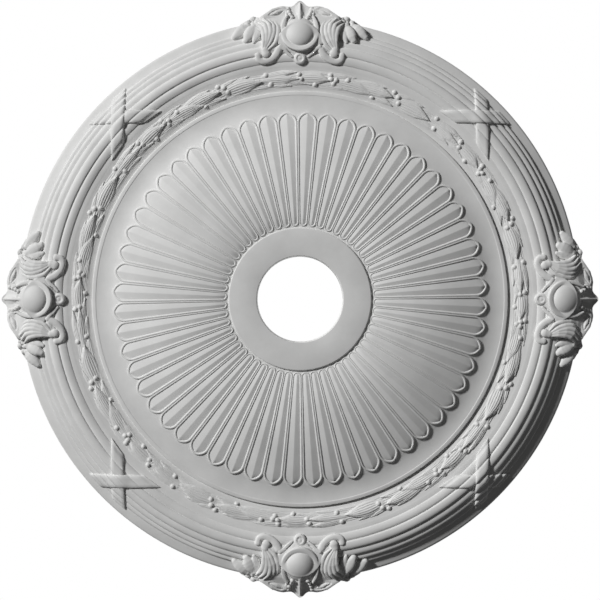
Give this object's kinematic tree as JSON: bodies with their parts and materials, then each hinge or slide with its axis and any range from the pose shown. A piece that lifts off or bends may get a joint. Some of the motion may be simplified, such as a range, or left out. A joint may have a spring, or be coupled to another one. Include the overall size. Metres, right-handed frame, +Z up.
{
  "type": "ceiling rose",
  "caption": "Round ceiling rose with fluted petals round a plain canopy ring, a laurel garland, a reeded border, crossed ribbons and cartouches.",
  "frame": {"origin": "centre of the hole at the flat back, which is the face that lies on the ceiling", "axes": "as installed on a ceiling, face down: +Z up into the ceiling, -Z into the room, with the cartouches on +X, +Y, -X and -Y"},
  "size_m": [0.7112, 0.7112, 0.057],
  "materials": {
    "primed_urethane": "cast rigid urethane foam with a matt near-white factory primer"
  },
  "bodies": {
    "root": {"ceiling_rose": "primed_urethane"}
  },
  "joints": []
}
